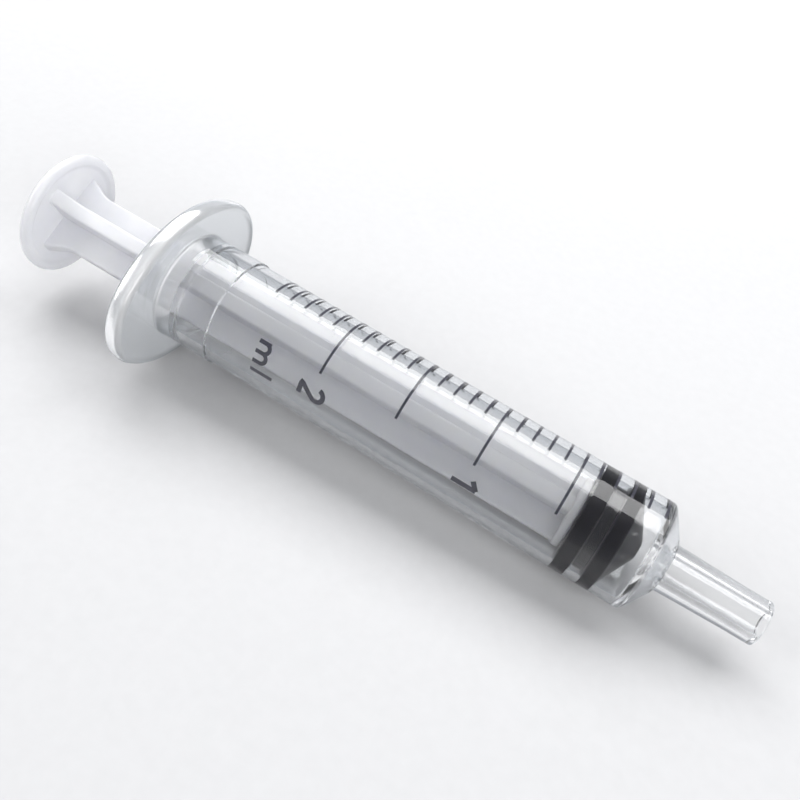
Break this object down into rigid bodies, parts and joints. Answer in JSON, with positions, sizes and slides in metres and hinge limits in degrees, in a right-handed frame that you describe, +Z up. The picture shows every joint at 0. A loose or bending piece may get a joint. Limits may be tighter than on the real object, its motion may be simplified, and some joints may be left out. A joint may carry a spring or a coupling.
{
  "type": "oral syringe",
  "caption": "Small clear oral syringe lying on its oval finger flange, with a sliding plunger, black rubber stopper, printed millilitre scale and plain slip nozzle.",
  "frame": {"origin": "on the table, under the middle of the whole syringe as it lies on the flat of its flange, plunger nearly in", "axes": "+X along the barrel towards the nozzle tip, +Y along the flange's long diameter, +Z up"},
  "size_m": [0.076, 0.0208, 0.0162],
  "materials": {
    "clear_plastic": "clear polypropylene, glossy",
    "milky_plastic": "milky natural polypropylene, satin",
    "black_rubber": "smooth siliconed black rubber",
    "ink": "thin black printing ink"
  },
  "bodies": {
    "barrel": {"barrel": "clear_plastic", "short_graduations": "ink", "long_graduations": "ink", "numerals": "ink", "unit_mark": "ink"},
    "piston": {"stopper": "black_rubber"},
    "plunger": {"plunger_rod": "milky_plastic"}
  },
  "joints": [
    {"name": "plunger_slide", "type": "slide", "parent": "barrel", "child": "piston", "axis": [1, 0, 0], "range_m": [-0.0402, 0.0022]},
    {"name": "rod_swivel", "type": "hinge", "parent": "piston", "child": "plunger", "pos_m": [0.0203, 0, 0.0081], "axis": [1, 0, 0], "continuous": true}
  ]
}
